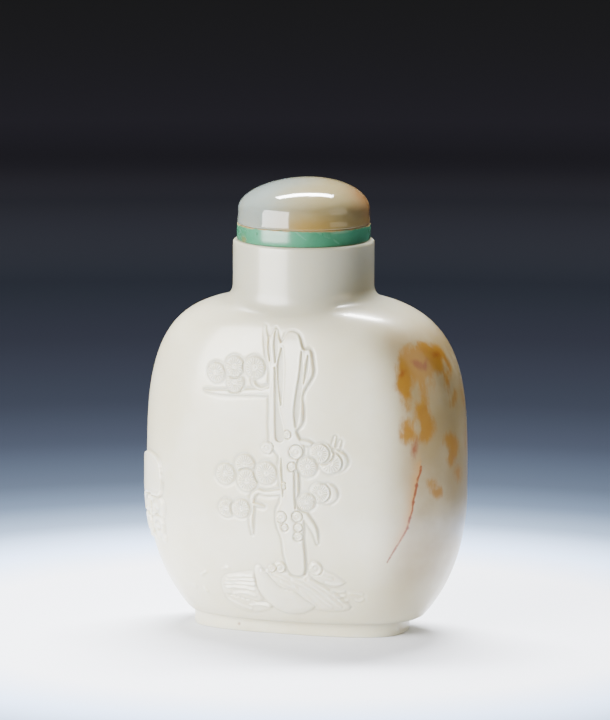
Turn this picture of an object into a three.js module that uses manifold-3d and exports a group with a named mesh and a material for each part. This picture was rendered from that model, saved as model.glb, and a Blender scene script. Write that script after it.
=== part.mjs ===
// Carved nephrite snuff bottle of flattened ovoid form, with an agate stopper on a glass collar.
// Millimetres, +Z up, +X to the right of the carved front face, which looks along -Y.
// The origin is on the ground, at the middle of the body.

import * as THREE from 'three';
import { mergeVertices } from 'three/addons/utils/BufferGeometryUtils.js';
import Module from 'manifold-3d';

const wasm = await Module();
wasm.setup();

// ---- Driving dimensions ----

const NECK_X = -0.3; // axis of the neck, the stopper and the foot
const BODY_X = 0.32; // middle of the body, which the lapidary ground slightly off the neck's axis

const BODY = {
  halfWidth: 25.28,
  halfDepth: 14.3,
  planPower: 2.2, // 2 would be an ellipse in plan
  widestZ: 21.93,
  top: { height: 29.67, widthPower: 3.64, depthPower: 6.5 },
  bottom: { height: 27.16, widthPower: 2.15, depthPower: 2 },
};

const FOOT = { halfWidth: 16.8, halfDepth: 7.95, power: 2.86, height: 2.3, rim: 2.2, recess: 1.0 };

const LIP_Z = 60;
const NECK_R = 10.8;
const NECK_ROOT_Z = 49.2; // the neck's own profile starts inside the body
const FILLET = { height: 1.5, width: 0.45, bottomZ: 51.1 };
const LIP_EDGE = 0.5;

const MOUTH_R = 4;
const CAVITY = {
  halfWidth: 21,
  halfDepth: 10.2,
  planPower: 2.2,
  widestZ: 24,
  top: { height: 25, widthPower: 3, depthPower: 4 },
  bottom: { height: 16.5, widthPower: 2.2, depthPower: 2.3 },
};

const COLLAR = { radius: 10.2, height: 2.5, edge: 0.25 };
const CAP = {
  baseRadius: 10.17,
  radius: 10.05,
  sideHeight: 2.25,
  domeHeight: 4.75,
  domePower: 1.93,
  lean: 0.85, // how far the top of the dome stands off its axis
};

const RELIEF = 0.45; // height of the carving above the ground of the face
const CUT = 0.3; // depth of the hollows between the trunk's limbs, below the ground

const AROUND = 56; // facets round the body
const LEVELS = 26; // rings from the top of the body to the bottom
const ROUND = 36; // facets round the neck, the collar and the cap

// ---- Solids from three.js geometry ----

function toSolid(geometry) {
  const bare = geometry.clone();
  bare.deleteAttribute('normal');
  bare.deleteAttribute('uv');
  const merged = mergeVertices(bare, 1e-4);
  return new wasm.Manifold(new wasm.Mesh({
    numProp: 3,
    vertProperties: new Float32Array(merged.attributes.position.array),
    triVerts: new Uint32Array(merged.index.array),
  }));
}

function toMesh(name, solid, colour, roughness) {
  const result = solid.getMesh();
  const geometry = new THREE.BufferGeometry();
  geometry.setAttribute('position', new THREE.BufferAttribute(new Float32Array(result.vertProperties), 3));
  geometry.setIndex(new THREE.BufferAttribute(new Uint32Array(result.triVerts), 1));
  geometry.computeVertexNormals();
  const material = new THREE.MeshStandardMaterial({ color: colour, roughness, metalness: 0 });
  const mesh = new THREE.Mesh(geometry, material);
  mesh.name = name;
  return mesh;
}

// How far out a rounded profile of a given power reaches, as a share, at share q of its height.
function reach(q, power) {
  return (1 - Math.min(1, q) ** power) ** (1 / power);
}

// Half width and half depth of a vessel form at height z.
function halfSizes(form, z) {
  const half = z >= form.widestZ ? form.top : form.bottom;
  const q = Math.abs(z - form.widestZ) / half.height;
  return {
    x: form.halfWidth * reach(q, half.widthPower),
    y: form.halfDepth * reach(q, half.depthPower),
  };
}

// The form grown outwards by the same distance everywhere.
function grown(form, by) {
  return {
    ...form,
    halfWidth: form.halfWidth + by,
    halfDepth: form.halfDepth + by,
    top: { ...form.top, height: form.top.height + by },
    bottom: { ...form.bottom, height: form.bottom.height + by },
  };
}

function signedPower(value, power) {
  return Math.sign(value) * Math.abs(value) ** power;
}

// A closed vessel form, from a sphere whose rings are moved to the form's own profile.
function vesselSolid(form, around, levels) {
  const geometry = new THREE.SphereGeometry(1, around, levels);
  geometry.rotateX(Math.PI / 2);
  const place = geometry.attributes.position;
  const spot = new THREE.Vector3();
  const levelPower = 0.8;
  for (let i = 0; i < place.count; i += 1) {
    spot.fromBufferAttribute(place, i);
    const half = spot.z >= 0 ? form.top : form.bottom;
    const z = form.widestZ + half.height * signedPower(spot.z, levelPower);
    const size = halfSizes(form, z);
    const ring = Math.hypot(spot.x, spot.y);
    const onPole = ring < 1e-6;
    const x = onPole ? 0 : size.x * signedPower(spot.x / ring, 2 / form.planPower);
    const y = onPole ? 0 : size.y * signedPower(spot.y / ring, 2 / form.planPower);
    place.setXYZ(i, BODY_X + x, y, z);
  }
  return toSolid(geometry);
}

function superellipse(halfWidth, halfDepth, power, count) {
  const points = [];
  for (let i = 0; i < count; i += 1) {
    const angle = (i / count) * 2 * Math.PI;
    points.push(new THREE.Vector2(
      halfWidth * signedPower(Math.cos(angle), 2 / power),
      halfDepth * signedPower(Math.sin(angle), 2 / power),
    ));
  }
  return new THREE.Shape(points);
}

function uprightPrism(shape, bottomZ, height) {
  const geometry = new THREE.ExtrudeGeometry(shape, { depth: height, bevelEnabled: false });
  geometry.translate(NECK_X, 0, bottomZ);
  return toSolid(geometry);
}

function turned(profile) {
  const geometry = new THREE.LatheGeometry(profile.map(([r, z]) => new THREE.Vector2(r, z)), ROUND);
  geometry.rotateX(Math.PI / 2);
  geometry.scale(1, -1, 1);
  const index = geometry.index.array;
  for (let i = 0; i < index.length; i += 3) {
    [index[i + 1], index[i + 2]] = [index[i + 2], index[i + 1]];
  }
  geometry.translate(NECK_X, 0, 0);
  return toSolid(geometry);
}

// ---- The plain bottle ----

function neckSolid() {
  const profile = [[0, NECK_ROOT_Z], [NECK_R + FILLET.width, NECK_ROOT_Z]];
  const steps = 3;
  for (let i = 0; i <= steps; i += 1) {
    const turn = (i / steps) * (Math.PI / 2);
    profile.push([
      NECK_R + FILLET.width * (1 - Math.sin(turn)),
      FILLET.bottomZ + FILLET.height * (1 - Math.cos(turn)),
    ]);
  }
  profile.push([NECK_R, LIP_Z - LIP_EDGE]);
  profile.push([NECK_R - LIP_EDGE, LIP_Z]);
  profile.push([0, LIP_Z]);
  return turned(profile);
}

function boreSolid() {
  return turned([[0, 40], [MOUTH_R, 40], [MOUTH_R, LIP_Z + 2], [0, LIP_Z + 2]]);
}

function footSolid() {
  const outline = superellipse(FOOT.halfWidth, FOOT.halfDepth, FOOT.power, AROUND);
  return uprightPrism(outline, 0, FOOT.height + 1.5);
}

function footRecess() {
  const outline = superellipse(FOOT.halfWidth - FOOT.rim, FOOT.halfDepth - FOOT.rim, FOOT.power, AROUND / 2);
  return uprightPrism(outline, -1, 1 + FOOT.recess);
}

function aboveFoot() {
  const block = new THREE.BoxGeometry(80, 60, 80);
  block.translate(0, 0, 40 + FOOT.height);
  return toSolid(block);
}

// ---- Carving ----

// Outlines on the front face are drawn in its own plane: across is +X, up is +Z.
function facePrism(shape) {
  const geometry = new THREE.ExtrudeGeometry(shape, { depth: 30, bevelEnabled: false, curveSegments: 4 });
  geometry.rotateX(Math.PI / 2);
  return toSolid(geometry);
}

// A limb that follows a path of [across, up, width] stations.
function limbShape(stations) {
  const middle = new THREE.CatmullRomCurve3(
    stations.map(([x, z, width]) => new THREE.Vector3(x, z, width)), false, 'catmullrom', 0.5,
  );
  const count = Math.round(stations.length * 1.5);
  const left = [];
  const right = [];
  for (let i = 0; i <= count; i += 1) {
    const at = middle.getPoint(i / count);
    const way = middle.getTangent(i / count);
    const across = new THREE.Vector2(-way.y, way.x).normalize().multiplyScalar(at.z / 2);
    left.push(new THREE.Vector2(at.x + across.x, at.y + across.y));
    right.unshift(new THREE.Vector2(at.x - across.x, at.y - across.y));
  }
  return new THREE.Shape([...left, ...right]);
}

function outline(points) {
  return new THREE.Shape(points.map(([x, z]) => new THREE.Vector2(x, z)));
}

// The point on the body's front face straight in front of (x, z), and the way the face looks there.
function frontSpot(x, z) {
  const at = (px, pz) => {
    const size = halfSizes(BODY, pz);
    const share = Math.min(1, Math.abs((px - BODY_X) / size.x));
    return new THREE.Vector3(px, -size.y * reach(share, BODY.planPower), pz);
  };
  const step = 0.05;
  const alongX = at(x + step, z).sub(at(x - step, z));
  const alongZ = at(x, z + step).sub(at(x, z - step));
  return { spot: at(x, z), normal: alongX.cross(alongZ).normalize() };
}

// A shallow round boss lying on the front face.
function boss(x, z, radius, height, sides) {
  const { spot, normal } = frontSpot(x, z);
  const geometry = new THREE.SphereGeometry(1, sides, 4);
  geometry.rotateX(Math.PI / 2);
  geometry.scale(radius, radius, height);
  geometry.applyQuaternion(new THREE.Quaternion().setFromUnitVectors(new THREE.Vector3(0, 0, 1), normal));
  geometry.translate(spot.x, spot.y, spot.z);
  return toSolid(geometry);
}

// Needle clusters of the pine: [across, up, radius].
const NEEDLES = [
  [-9.75, 40.8, 1.5], [-6.6, 42.0, 1.55], [-3.3, 42.05, 1.65], [-6.5, 39.6, 1.45],
  [-8.05, 25.45, 1.6], [-4.8, 27.05, 1.6], [-4.4, 24.65, 1.65], [-1.35, 26.0, 1.7],
  [-7.8, 20.2, 1.4], [-5.4, 20.3, 1.45],
  [7.0, 29.4, 1.5], [5.2, 27.3, 1.45], [9.0, 28.2, 1.9],
  [7.3, 23.4, 1.7], [5.05, 21.9, 1.3],
];

// Left and right edges of the trunk, from the ground up: [up, left, right].
const TRUNK = [
  [10.6, 2.3, 4.3], [13.2, 1.45, 4.65], [16.0, 1.15, 4.6], [18.2, 0.4, 4.6], [20.4, 0.4, 4.6],
  [22.0, 1.0, 3.9], [24.5, 0.9, 3.8], [26.8, 0.6, 3.8], [28.6, 0.7, 4.3], [30.0, -1.5, 4.6],
  [31.2, -0.9, 3.6], [33.0, -1.0, 4.3], [36.0, -1.1, 4.45], [38.3, -1.0, 4.3], [41.2, -0.9, 5.9],
  [43.5, -1.3, 5.9],
];

// The broken top of the trunk, from its left splinter to its right one: [across, up].
const TRUNK_TOP = [
  [-2.0, 48.3], [-1.2, 46.7], [-0.3, 48.0], [0.8, 46.0], [1.8, 47.6], [3.4, 47.3], [4.3, 45.2], [5.4, 45.0],
];

// Hollows between the limbs of the trunk: stations of [across, up, width].
const HOLLOWS = [
  [[-1.2, 46.6, 0.1], [-1.05, 44.9, 0.5], [-0.85, 43.2, 0.1]],
  [[-0.2, 47.9, 0.15], [0.0, 45.6, 0.7], [0.05, 43.2, 0.15]],
  [[0.0, 42.0, 0.2], [0.25, 38.3, 0.4], [0.45, 35.5, 0.7], [0.8, 33.0, 1.3], [0.9, 30.9, 1.1]],
  [[0.95, 45.2, 0.1], [0.85, 42.6, 0.9], [0.9, 39.5, 0.7], [1.05, 36.6, 0.1]],
  [[4.1, 44.6, 0.1], [4.1, 41.3, 0.6], [3.75, 38.4, 0.8], [3.5, 35.5, 0.8], [3.3, 33.2, 0.2]],
  [[5.1, 44.2, 0.1], [4.95, 42.2, 0.45], [4.5, 40.0, 0.1]],
];

// Boughs and twigs: stations of [across, up, width].
const LIMBS = [
  [[-11.6, 37.85, 0.1], [-9.6, 37.85, 0.5], [-6.5, 38.0, 0.7], [-3.6, 38.25, 0.8], [-0.6, 38.5, 1.3]],
  [[0.9, 23.2, 0.9], [-1.3, 22.9, 0.7], [-2.6, 23.1, 0.7], [-3.5, 22.2, 0.7], [-3.6, 20.4, 0.7],
    [-3.75, 18.4, 0.6], [-3.6, 16.6, 0.1]],
  [[-3.5, 21.1, 0.4], [-2.5, 20.95, 0.4], [-1.7, 20.8, 0.15]],
  [[4.2, 20.6, 1.0], [5.3, 19.1, 1.1], [6.3, 17.6, 0.8], [6.7, 15.7, 0.1]],
  [[3.6, 31.0, 0.8], [5.2, 30.9, 0.8], [6.6, 30.6, 0.2]],
  [[8.8, 29.6, 0.5], [9.2, 30.7, 0.4], [9.5, 31.9, 0.1]],
];

// Knots and root curls: [across, up, radius].
const KNOTS = [
  [-1.2, 29.9, 0.75], [2.05, 32.1, 0.45], [3.5, 29.6, 0.75], [2.9, 27.2, 0.5],
  [1.0, 19.5, 0.6], [3.7, 19.6, 0.6], [3.8, 17.0, 0.55], [0.6, 11.5, 0.9], [6.2, 11.6, 1.0],
];

// Rocks at the foot of the pine: how far each stands out, and its outline.
const ROCKS = [
  { height: 0.3, points: [[-8.9, 9.2], [-6.9, 9.9], [-4.1, 10.4], [-3.2, 9.8], [-2.6, 6.4], [-4.2, 5.2],
    [-8.6, 5.8], [-9.4, 7.6]] },
  { height: 0.25, points: [[-8.9, 6.2], [-4.2, 5.4], [-1.2, 5.2], [-2.0, 4.3], [-5.0, 3.6], [-7.9, 4.6]] },
  { height: 0.35, points: [[-2.4, 11.0], [1.6, 10.5], [4.6, 10.9], [8.0, 8.4], [10.9, 5.3], [8.0, 4.6],
    [5.4, 5.0], [2.6, 7.0], [0.4, 7.6], [-1.4, 9.4]] },
  { height: 0.5, points: [[-3.5, 11.0], [-2.9, 11.5], [-2.2, 11.1], [-0.9, 9.2], [0.6, 7.9], [2.6, 7.4],
    [4.1, 6.1], [5.4, 5.2], [3.4, 4.0], [0.4, 4.0], [-2.1, 5.8], [-3.3, 8.2]] },
  { height: 0.35, points: [[5.2, 11.6], [7.4, 11.4], [10.3, 9.7], [9.2, 8.6], [7.0, 9.2], [5.4, 10.4]] },
  { height: 0.2, points: [[8.6, 7.9], [10.4, 7.7], [12.6, 7.9], [13.6, 6.6], [11.6, 5.8], [9.4, 6.6]] },
];

// Small crescent curls by the rocks: [across, up, outer radius].
const CURLS = [[-8.7, 10.1, 0.8], [-12.4, 8.9, 0.8], [-14.2, 7.4, 0.7]];

// The rock and clouds on the narrow left side: how the ground there is met, and their parts.
const SIDE = { across: -22.5, back: -7.3 };
const SIDE_BOSSES = [
  { z: 18.9, radius: 2.3, height: 0.5 },
  { z: 15.6, radius: 1.6, height: 0.45 },
];

function crescentShape(x, z, radius) {
  const shape = new THREE.Shape();
  shape.absarc(x, z, radius, Math.PI * 0.55, Math.PI * 1.55, false);
  shape.absarc(x + radius * 0.45, z, radius * 0.8, Math.PI * 1.4, Math.PI * 0.65, true);
  shape.closePath();
  return shape;
}

function trunkShape() {
  const left = TRUNK.map(([z, x]) => [x, z]);
  const right = TRUNK.map(([z, , x]) => [x, z]).reverse();
  return outline([...left, ...TRUNK_TOP, ...right]);
}

// What lies inside an outline, from inside the wall up to a height above the face.
function raised(solid, height) {
  return solid.intersect(vesselSolid(grown(BODY, height), AROUND, LEVELS));
}

function pine() {
  let wood = facePrism(trunkShape());
  for (const limb of LIMBS) {
    wood = wood.add(facePrism(limbShape(limb)));
  }
  let tree = raised(wood, RELIEF);
  for (const [x, z, radius] of NEEDLES) {
    tree = tree.add(boss(x, z, radius, 0.5, 12));
  }
  for (const [x, z, radius] of KNOTS) {
    tree = tree.add(boss(x, z, radius, 0.7, 8));
  }
  return tree;
}

function hollows() {
  let cutter = facePrism(limbShape(HOLLOWS[0]));
  for (const hollow of HOLLOWS.slice(1)) {
    cutter = cutter.add(facePrism(limbShape(hollow)));
  }
  return cutter.subtract(vesselSolid(grown(BODY, -CUT), AROUND, LEVELS));
}

function rocks() {
  let ground = null;
  for (const rock of ROCKS) {
    const piece = raised(facePrism(outline(rock.points)), rock.height);
    ground = ground ? ground.add(piece) : piece;
  }
  for (const [x, z, radius] of CURLS) {
    ground = ground.add(raised(facePrism(crescentShape(x, z, radius)), 0.35));
  }
  return ground;
}

// Low carving on the narrow left side: an upright rock with a rounded top over two curled bosses.
function sideRocks() {
  const normal = new THREE.Vector3(-0.86, -0.51, 0).normalize();
  const turn = new THREE.Quaternion().setFromUnitVectors(new THREE.Vector3(0, 0, 1), normal);
  const slabShape = outline([[-2.4, 20.6], [2.4, 20.6], [2.5, 24.8], [1.7, 26.6], [0, 27.1], [-1.7, 26.6],
    [-2.5, 24.8]]);
  const slab = new THREE.ExtrudeGeometry(slabShape, { depth: 12, bevelEnabled: false });
  slab.rotateX(Math.PI / 2);
  slab.rotateZ(-Math.atan2(-normal.x, -normal.y));
  slab.translate(SIDE.across + 3, SIDE.back + 2, 0);
  let carving = raised(toSolid(slab), RELIEF);
  for (const { z, radius, height } of SIDE_BOSSES) {
    const ball = new THREE.SphereGeometry(1, 12, 4);
    ball.rotateX(Math.PI / 2);
    ball.scale(radius, radius, height);
    ball.applyQuaternion(turn);
    const size = halfSizes(BODY, z);
    const lean = Math.atan2(Math.abs(SIDE.back) / BODY.halfDepth, Math.abs(SIDE.across) / BODY.halfWidth);
    ball.translate(
      BODY_X - size.x * Math.cos(lean) ** (2 / BODY.planPower),
      -size.y * Math.sin(lean) ** (2 / BODY.planPower),
      z,
    );
    carving = carving.add(toSolid(ball));
  }
  return carving;
}

// ---- The three pieces ----

function bottleSolid() {
  const cavity = vesselSolid(CAVITY, 28, 14);
  const inside = cavity.add(boreSolid());
  const body = vesselSolid(BODY, AROUND, LEVELS).intersect(aboveFoot());
  const carving = pine().add(rocks()).add(sideRocks()).intersect(aboveFoot());
  const bottle = body
    .add(carving)
    .subtract(hollows())
    .add(neckSolid())
    .add(footSolid())
    .subtract(footRecess())
    .subtract(inside);
  return largest(bottle);
}

// The main body of a solid, without the specks that a cut can leave.
function largest(solid) {
  return solid.decompose().reduce((most, piece) => (piece.volume() > most.volume() ? piece : most));
}

function collarSolid() {
  const top = LIP_Z + COLLAR.height;
  return turned([
    [0, LIP_Z], [COLLAR.radius - COLLAR.edge, LIP_Z], [COLLAR.radius, LIP_Z + COLLAR.edge],
    [COLLAR.radius, top], [0, top],
  ]);
}

function capSolid() {
  const bottom = LIP_Z + COLLAR.height;
  const profile = [[0, bottom], [CAP.baseRadius, bottom], [CAP.radius, bottom + 1.1]];
  const domeZ = bottom + CAP.sideHeight;
  const steps = 7;
  for (let i = 0; i <= steps; i += 1) {
    const turn = (i / steps) * (Math.PI / 2);
    profile.push([
      CAP.radius * Math.cos(turn) ** (2 / CAP.domePower),
      domeZ + CAP.domeHeight * Math.sin(turn) ** (2 / CAP.domePower),
    ]);
  }
  profile[profile.length - 1][0] = 0;
  return turned(profile).warp((point) => {
    const share = Math.max(0, (point[2] - domeZ) / CAP.domeHeight);
    point[0] += CAP.lean * share * share;
  });
}

const group = new THREE.Group();
group.name = 'snuff_bottle';
group.add(toMesh('bottle', bottleSolid(), '#d9d5c8', 0.35));
group.add(toMesh('stopper_collar', collarSolid(), '#5f9f7d', 0.45));
group.add(toMesh('stopper_cap', capSolid(), '#a9926a', 0.15));

export default group;
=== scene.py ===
"""Carved jade snuff bottle with its agate stopper, modelled around the packed frame."""

import math

import bpy
import numpy as np
from mathutils import Matrix, Vector


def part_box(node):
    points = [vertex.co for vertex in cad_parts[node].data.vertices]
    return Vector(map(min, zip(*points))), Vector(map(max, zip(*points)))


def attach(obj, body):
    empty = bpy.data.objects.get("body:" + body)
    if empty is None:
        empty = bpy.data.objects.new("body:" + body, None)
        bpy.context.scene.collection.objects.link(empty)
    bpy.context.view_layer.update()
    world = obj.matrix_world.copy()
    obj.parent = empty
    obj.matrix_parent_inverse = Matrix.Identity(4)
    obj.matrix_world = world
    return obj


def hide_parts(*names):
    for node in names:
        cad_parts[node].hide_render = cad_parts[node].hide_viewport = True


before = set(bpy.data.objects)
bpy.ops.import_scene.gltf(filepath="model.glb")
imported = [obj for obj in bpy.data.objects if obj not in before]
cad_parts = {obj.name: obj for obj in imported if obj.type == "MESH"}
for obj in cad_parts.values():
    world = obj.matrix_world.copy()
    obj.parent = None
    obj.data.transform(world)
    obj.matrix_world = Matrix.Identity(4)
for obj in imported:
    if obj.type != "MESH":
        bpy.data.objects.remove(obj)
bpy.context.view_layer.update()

bl_info = {
    "name": "Carved jade snuff bottle",
    "version": (1, 0, 0),
    "blender": (4, 5, 0),
    "location": "View3D > Sidebar > Snuff bottle",
    "description": "Models a relief-carved jade snuff bottle, its green collar and its agate cap",
    "category": "Add Mesh",
}

MM = 0.001
BODY_NAME = "root"

# ---- sizes, in millimetres

BOTTLE_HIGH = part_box("bottle")[1] / MM
COLLAR_LOW, COLLAR_HIGH = (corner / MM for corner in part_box("stopper_collar"))
CAP_LOW, CAP_HIGH = (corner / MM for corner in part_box("stopper_cap"))

NECK_X = (COLLAR_LOW.x + COLLAR_HIGH.x) / 2
LIP_Z = BOTTLE_HIGH.z
BODY_X = 0.32
HALF_WIDTH = BOTTLE_HIGH.x - BODY_X
HALF_DEPTH = BOTTLE_HIGH.y
PLAN_POWER = 2.2
WIDEST_Z = 21.93
TOP = {"height": 29.67, "width": 3.64, "depth": 6.5}
BOTTOM = {"height": 27.16, "width": 2.15, "depth": 2.0}
FOOT = {"half_width": 16.8, "half_depth": 7.95, "power": 2.86, "height": 2.3, "rim": 2.2, "recess": 1.0}
SHOULDER_Z = 47.6
LEAN_FROM, LEAN_RUN = 40.0, 10.0
CAVITY = {"half_width": 21.0, "half_depth": 10.2, "widest": 24.0}
CAVITY_TOP = {"height": 25.0, "width": 3.0, "depth": 4.0}
CAVITY_BOTTOM = {"height": 16.5, "width": 2.2, "depth": 2.3}

# ---- the carving, in millimetres

# Tufts of pine needles: across, height, radius and how many rays; a tuft behind another has none.
NEEDLES = [
    (-9.75, 40.8, 1.5, 18), (-6.5, 39.6, 1.45, 18), (-6.6, 42.0, 1.55, 19), (-3.3, 42.05, 1.65, 19),
    (-8.05, 25.45, 1.6, 19), (-4.8, 27.05, 1.6, 19), (-4.4, 24.65, 1.65, 19), (-1.35, 26.0, 1.7, 20),
    (-7.8, 20.2, 1.4, 20), (-5.4, 20.3, 1.45, 18),
    (9.7, 28.35, 1.6, 0), (8.7, 28.0, 1.6, 18), (7.6, 29.5, 1.45, 0), (7.0, 29.4, 1.4, 18), (5.2, 27.3, 1.45, 18),
    (8.3, 23.3, 1.5, 0), (7.1, 23.4, 1.45, 20), (5.05, 21.9, 1.3, 20),
]

TRUNK = [
    (2.3, 10.6), (1.45, 13.2), (1.15, 16.0), (0.4, 18.2), (0.4, 20.4), (1.0, 22.0), (0.9, 24.5), (0.6, 26.8),
    (0.75, 28.7), (-0.6, 30.3), (-0.75, 32.0), (-0.85, 33.5), (-0.8, 36.0), (-0.95, 38.3), (-0.85, 41.2),
    (-1.45, 44.0), (-2.0, 48.3), (-1.2, 46.7), (-0.3, 48.0), (0.8, 46.0), (1.8, 47.6), (3.4, 47.3), (4.3, 45.2),
    (5.4, 45.0), (5.85, 43.0), (5.85, 41.2), (4.3, 38.3), (4.45, 36.0), (4.35, 34.0), (3.45, 32.6), (4.5, 30.4),
    (4.3, 28.6), (3.8, 26.8), (3.8, 24.5), (3.9, 22.0), (4.6, 20.4), (4.6, 18.2), (4.5, 16.0), (4.6, 13.2),
    (4.3, 10.6),
]

# Splits in the trunk's bark, as (across, height, width) along each.
SPLITS = [
    [(-1.2, 46.6, 0.1), (-1.05, 44.9, 0.42), (-0.85, 43.2, 0.1)],
    [(-0.2, 47.6, 0.15), (0.0, 45.6, 0.66), (0.05, 43.0, 0.12)],
    [(0.0, 42.2, 0.15), (0.2, 39.0, 0.42), (0.35, 36.0, 0.62), (0.65, 33.6, 1.2), (0.85, 31.6, 1.4)],
    [(0.95, 45.2, 0.1), (0.85, 42.6, 0.9), (0.9, 39.5, 0.75), (1.05, 36.6, 0.1)],
    [(4.1, 44.8, 0.1), (4.1, 41.3, 0.6), (3.75, 38.4, 0.8), (3.5, 35.5, 0.9), (3.4, 33.4, 0.3)],
    [(5.1, 44.2, 0.1), (4.95, 42.2, 0.42), (4.55, 40.0, 0.1)],
    [(1.1, 28.4, 0.1), (1.2, 26.4, 0.34), (1.35, 24.6, 0.3), (1.4, 22.6, 0.1)],
    [(3.15, 28.0, 0.1), (3.25, 25.6, 0.3), (3.3, 22.8, 0.28), (3.4, 20.8, 0.1)],
]

LIMBS = [
    [(-11.7, 37.85, 0.08), (-9.6, 37.85, 0.5), (-6.5, 38.0, 0.75), (-3.6, 38.25, 0.9), (-0.4, 38.5, 1.3)],
    [(1.0, 23.2, 0.85), (-1.3, 22.9, 0.62), (-2.6, 23.1, 0.62), (-3.5, 22.2, 0.66), (-3.6, 20.4, 0.66),
     (-3.75, 18.4, 0.55), (-3.6, 16.5, 0.08)],
    [(-3.5, 21.1, 0.4), (-2.5, 20.95, 0.36), (-1.7, 20.8, 0.12)],
    [(-3.6, 40.4, 0.3), (-3.2, 39.3, 0.42), (-2.1, 38.85, 0.4), (-1.0, 39.3, 0.3)],
    [(4.2, 20.6, 1.0), (5.3, 19.1, 1.05), (6.3, 17.6, 0.75), (6.7, 15.6, 0.08)],
    [(3.6, 31.0, 0.8), (5.2, 30.9, 0.7), (6.6, 30.5, 0.2)],
    [(8.8, 29.6, 0.5), (9.2, 30.7, 0.36), (9.5, 32.0, 0.08)],
    [(9.6, 29.8, 0.36), (10.0, 30.6, 0.3), (10.25, 31.4, 0.08)],
]

KNOTS = [
    (-1.2, 29.9, 0.95), (2.05, 32.1, 0.5), (3.45, 29.5, 0.95), (2.85, 27.2, 0.6),
    (1.1, 19.4, 0.75), (1.65, 17.8, 0.45), (3.65, 19.6, 0.7), (3.8, 17.9, 0.55), (3.75, 16.5, 0.6),
    (1.45, 24.5, 0.24), (1.5, 24.0, 0.24), (0.6, 11.5, 0.9), (-0.7, 11.25, 0.6), (6.2, 11.6, 1.0),
]

ROCKS = [
    (0.3, [(-8.9, 9.2), (-6.9, 9.9), (-4.1, 10.4), (-3.2, 9.8), (-2.6, 6.4), (-4.2, 5.2), (-8.6, 5.8), (-9.4, 7.6)]),
    (0.25, [(-8.9, 6.2), (-4.2, 5.4), (-1.2, 5.2), (-2.0, 4.3), (-5.0, 3.6), (-7.9, 4.6)]),
    (0.33, [(-2.4, 11.0), (1.6, 10.5), (4.6, 10.9), (8.0, 8.4), (10.9, 5.3), (8.0, 4.6), (5.4, 5.0),
            (2.6, 7.0), (0.4, 7.6), (-1.4, 9.4)]),
    (0.48, [(-3.5, 11.0), (-2.9, 11.5), (-2.2, 11.1), (-0.9, 9.2), (0.6, 7.9), (2.6, 7.4), (4.1, 6.1),
            (5.4, 5.2), (3.4, 4.0), (0.4, 4.0), (-2.1, 5.8), (-3.3, 8.2)]),
    (0.35, [(5.2, 11.6), (7.4, 11.4), (10.3, 9.7), (9.2, 8.6), (7.0, 9.2), (5.4, 10.4)]),
]

ROCK_STROKES = [
    [(-2.4, 10.7), (-0.2, 10.2), (1.6, 9.5), (3.6, 7.8), (5.6, 5.5)],
    [(2.4, 9.5), (4.4, 8.6), (6.2, 7.2), (8.1, 5.4)],
    [(5.0, 9.6), (7.2, 8.4), (9.0, 7.0), (10.7, 5.4)],
    [(0.6, 9.1), (1.8, 8.6), (3.0, 8.2)],
    [(3.4, 9.9), (5.4, 8.9), (7.2, 7.5), (9.4, 5.4)],
    [(-8.2, 9.2), (-6.2, 9.5), (-4.0, 9.7)], [(-8.5, 8.7), (-6.2, 8.95), (-3.8, 9.0)],
    [(-8.7, 8.15), (-6.2, 8.35), (-3.7, 8.3)], [(-8.6, 7.5), (-6.4, 7.7), (-3.9, 7.5)],
    [(-7.4, 6.6), (-5.6, 6.9), (-3.8, 6.5)],
    [(-8.4, 5.6), (-7.0, 4.9), (-4.9, 4.2)], [(-4.9, 4.9), (-3.2, 5.1), (-1.6, 4.9)],
    [(7.7, 9.3), (9.0, 9.05), (10.4, 9.4)], [(8.4, 8.0), (9.3, 7.8), (10.2, 7.95)],
    [(8.7, 7.3), (9.5, 7.1), (10.2, 7.2)], [(11.0, 7.6), (12.0, 7.7), (12.8, 7.5)],
    [(11.8, 6.5), (12.3, 6.4), (12.8, 6.6)], [(9.4, 6.5), (10.0, 6.3), (10.6, 6.4)],
    [(5.8, 10.9), (7.2, 10.3), (8.6, 10.0)],
]

STROKE_WIDTH = 0.5

# Curling clouds beside the rocks: across, height, radius and the way each opens, in radians.
CURLS = [
    (-8.3, 10.1, 0.75, 1.6), (-12.2, 8.9, 0.8, 2.2), (-14.3, 7.4, 0.55, 4.1), (-12.2, 6.9, 0.6, 4.0),
]

# The low carving on the narrow left side, measured along the wall from SIDE_MIDDLE.
SIDE_MIDDLE = -7.4
SIDE_SLAB = [
    (-3.6, 20.7), (0.2, 20.5), (3.6, 20.7), (3.8, 24.4), (2.9, 26.4), (0.2, 27.0), (-2.7, 26.3), (-3.8, 24.2),
]
SIDE_SCROLLS = ((18.7, 2.3), (15.7, 1.7))

# ---- the russet skin, in millimetres

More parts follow.
